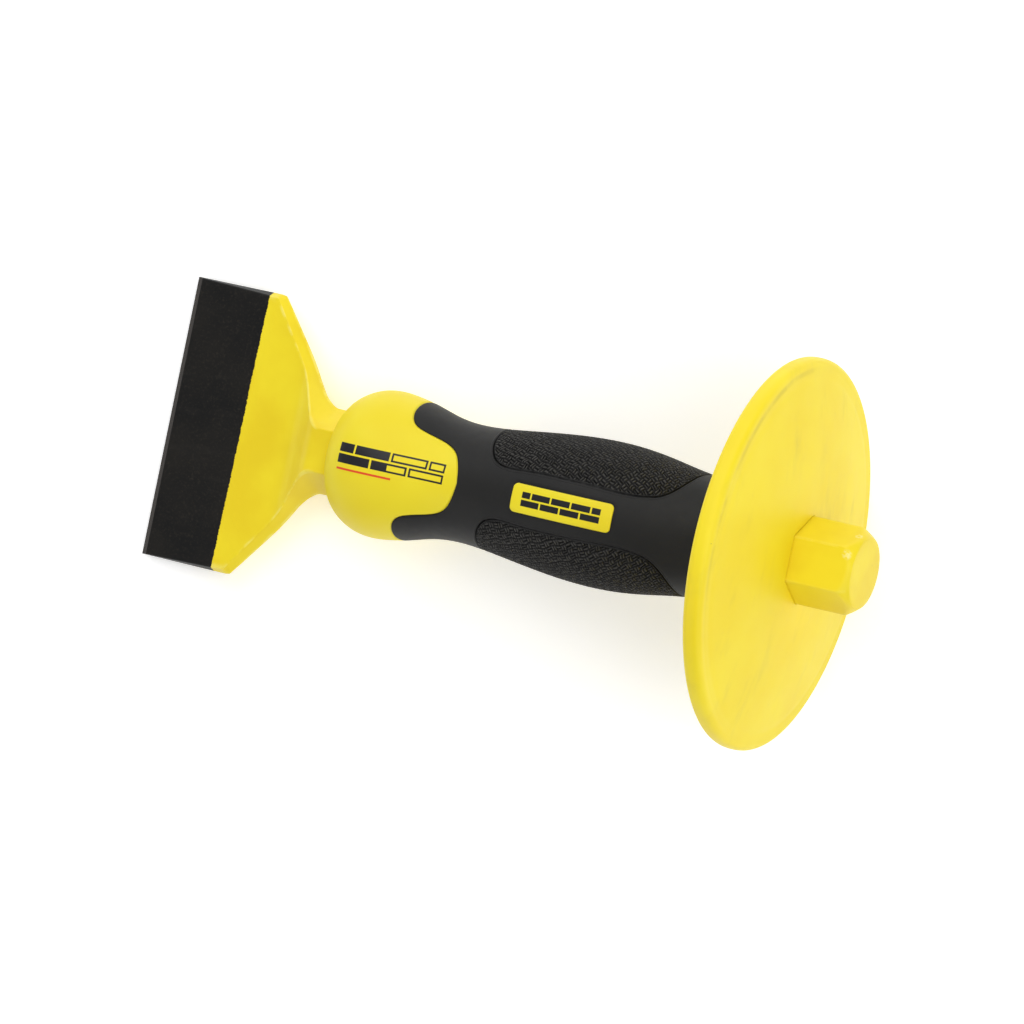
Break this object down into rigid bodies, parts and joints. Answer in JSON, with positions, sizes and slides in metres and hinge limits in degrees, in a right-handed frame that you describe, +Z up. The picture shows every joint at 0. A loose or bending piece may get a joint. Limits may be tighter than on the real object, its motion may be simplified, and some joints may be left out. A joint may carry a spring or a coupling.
{
  "type": "brick bolster chisel",
  "caption": "Wide flat masonry chisel with a hexagonal shank, ball-fronted soft grip and round hand guard, for cutting bricks with struck blows.",
  "frame": {"origin": "on the floor, under the middle of the tool's footprint as it lies on its ball and its guard rim", "axes": "+X from the cutting edge towards the struck end, level with the floor; +Y across the blade; +Z up. The tool's own axis climbs from the floor by 15.52 degrees towards +X."},
  "size_m": [0.2376, 0.1236, 0.1193],
  "materials": {
    "painted_steel": "gloss",
    "hard_plastic": "satin",
    "grip_rubber": "matte",
    "plate_plastic": "satin",
    "guard_plastic": "satin"
  },
  "bodies": {
    "chisel": {"forged_chisel": "painted_steel", "handle_core": "hard_plastic", "soft_grip": "grip_rubber", "badge_plate_front": "plate_plastic", "badge_plate_back": "plate_plastic"},
    "guard": {"hand_guard": "guard_plastic"}
  },
  "joints": [
    {"name": "guard_slide", "type": "slide", "parent": "chisel", "child": "guard", "axis": [0.9635, 0, 0.2676], "range_m": [0, 0.036]}
  ]
}
